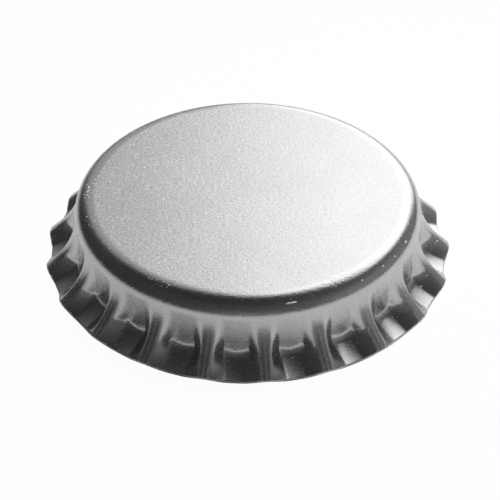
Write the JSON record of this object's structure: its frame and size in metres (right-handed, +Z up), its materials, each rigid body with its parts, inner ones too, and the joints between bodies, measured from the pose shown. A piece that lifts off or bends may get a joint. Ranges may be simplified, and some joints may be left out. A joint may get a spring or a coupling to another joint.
{
  "type": "bottle cap",
  "caption": "Round pry-off bottle cap pressed from tinplate, with a flat panel, rounded shoulder and a fluted, flared skirt, and a moulded sealing liner inside.",
  "frame": {"origin": "centre of the circle on which the rim's valleys rest, at the level of the surface they rest on", "axes": "+Z up out of the flat panel, along the axis of the cap; +X through the tip of one ridge"},
  "size_m": [0.0319, 0.032, 0.0059],
  "materials": {
    "tinplate": "satin, with a fine straight rolling grain",
    "liner_compound": "smooth matte, slightly waxy"
  },
  "bodies": {
    "root": {"cap_shell": "tinplate", "sealing_liner": "liner_compound"}
  },
  "joints": []
}
